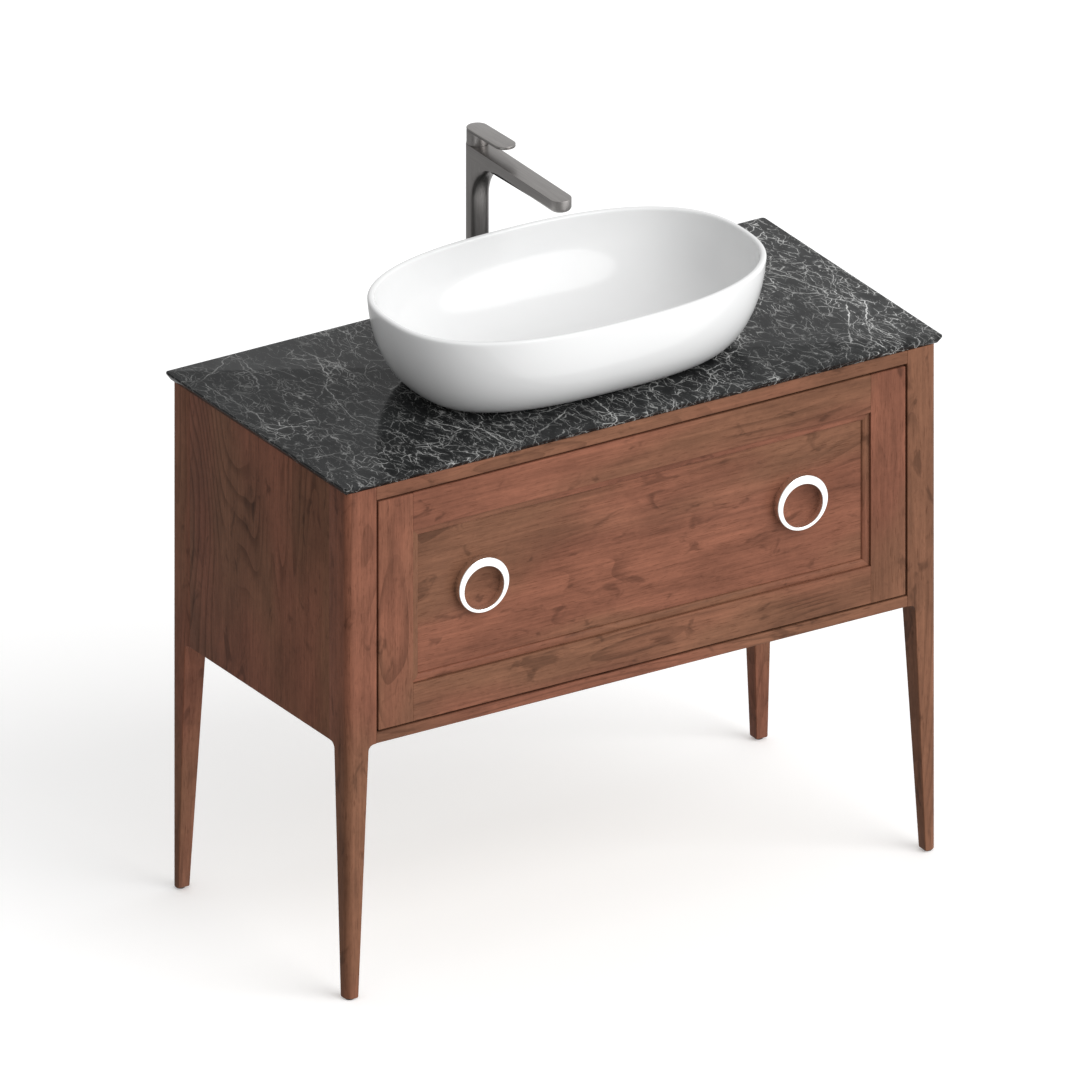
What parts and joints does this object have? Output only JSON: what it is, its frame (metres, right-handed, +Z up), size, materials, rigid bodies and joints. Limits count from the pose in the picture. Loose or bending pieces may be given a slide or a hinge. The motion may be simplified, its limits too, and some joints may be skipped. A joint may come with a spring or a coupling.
{
  "type": "vessel sink on vanity",
  "caption": "Four-legged wooden washstand with a deep ring-pull drawer, a dark stone worktop, an oval vessel basin and a tall single-lever basin tap.",
  "frame": {"origin": "on the floor, under the middle of the worktop", "axes": "+X to the right seen from the front, the drawer opens towards -Y, +Z up"},
  "size_m": [1, 0.48, 1.0763],
  "materials": {
    "walnut_upright": "satin lacquer, grain upright",
    "walnut_level": "satin lacquer, grain level",
    "rail_wood": "planed",
    "drawer_birch": "satin",
    "black_marble": "polished, white veins",
    "white_glaze": "gloss",
    "gunmetal": "brushed gunmetal",
    "polished_ring": "polished",
    "bright_chrome": "polished",
    "plated_steel": "zinc plated",
    "screw_steel": "plated",
    "brass_shank": "machined",
    "white_plastic": "moulded",
    "black_rubber": "matt",
    "glide_nylon": "moulded"
  },
  "bodies": {
    "vanity": {"leg_front_left": "walnut_upright", "leg_front_right": "walnut_upright", "leg_rear_left": "walnut_upright", "leg_rear_right": "walnut_upright", "side_panel_left": "walnut_upright", "side_panel_right": "walnut_upright", "top_rail": "walnut_level", "bottom_rail": "walnut_level", "rear_rail_upper": "rail_wood", "rear_rail_lower": "rail_wood", "battens": "rail_wood", "worktop": "black_marble", "basin": "white_glaze", "tap_body": "gunmetal", "waste_body": "bright_chrome", "aerator": "bright_chrome", "slides_cabinet": "plated_steel", "waste_nut": "plated_steel", "tap_nut": "plated_steel", "tap_clamp": "plated_steel", "batten_screws": "screw_steel", "slide_screws": "screw_steel", "tap_shank": "brass_shank", "trap_body": "white_plastic", "trap_cup": "white_plastic", "trap_inlet_nut": "white_plastic", "trap_outlet_nut": "white_plastic", "trap_outlet_pipe": "white_plastic", "cartridge": "white_plastic", "waste_seal": "black_rubber", "waste_washer": "black_rubber", "trap_inlet_seal": "black_rubber", "tap_base_seal": "black_rubber", "foot_glides": "glide_nylon"},
    "drawer": {"drawer_stile_left": "walnut_upright", "drawer_stile_right": "walnut_upright", "drawer_rail_top": "walnut_level", "drawer_rail_bottom": "walnut_level", "beads_level": "walnut_level", "beads_upright": "walnut_upright", "drawer_panel": "walnut_level", "pull_left": "polished_ring", "pull_right": "polished_ring", "pull_screws": "screw_steel", "box_front": "drawer_birch", "box_side_left": "drawer_birch", "box_side_right": "drawer_birch", "box_back": "drawer_birch", "notch_sides": "drawer_birch", "notch_front": "drawer_birch", "box_bottom": "drawer_birch", "front_screws": "screw_steel", "slides_drawer": "plated_steel"},
    "slide_mid_left": {"slide_mid_left": "plated_steel"},
    "slide_mid_right": {"slide_mid_right": "plated_steel"},
    "tap_swivel": {"cartridge_stem": "plated_steel"},
    "tap_lever": {"lever": "gunmetal", "lever_pin": "plated_steel"},
    "plug": {"waste_plug": "bright_chrome", "plug_seal": "black_rubber"}
  },
  "joints": [
    {"name": "drawer_slide", "type": "slide", "parent": "vanity", "child": "drawer", "axis": [0, -1, 0], "range_m": [0, 0.35]},
    {"name": "slide_left", "type": "slide", "parent": "vanity", "child": "slide_mid_left", "axis": [0, -1, 0], "range_m": [0, 0.175]},
    {"name": "slide_right", "type": "slide", "parent": "vanity", "child": "slide_mid_right", "axis": [0, -1, 0], "range_m": [0, 0.175]},
    {"name": "tap_turn", "type": "hinge", "parent": "vanity", "child": "tap_swivel", "pos_m": [0, 0.205, 1.03], "axis": [0, 0, 1], "range_deg": [-45, 45]},
    {"name": "tap_lift", "type": "hinge", "parent": "tap_swivel", "child": "tap_lever", "pos_m": [0, 0.205, 1.0546], "axis": [-1, 0, 0], "range_deg": [0, 22]},
    {"name": "plug_lift", "type": "slide", "parent": "vanity", "child": "plug", "axis": [0, 0, 1], "range_m": [0, 0.008]}
  ],
  "couplings": [
    {"joint": "slide_left", "follows": "drawer_slide", "ratio": 0.5},
    {"joint": "slide_right", "follows": "drawer_slide", "ratio": 0.5}
  ]
}
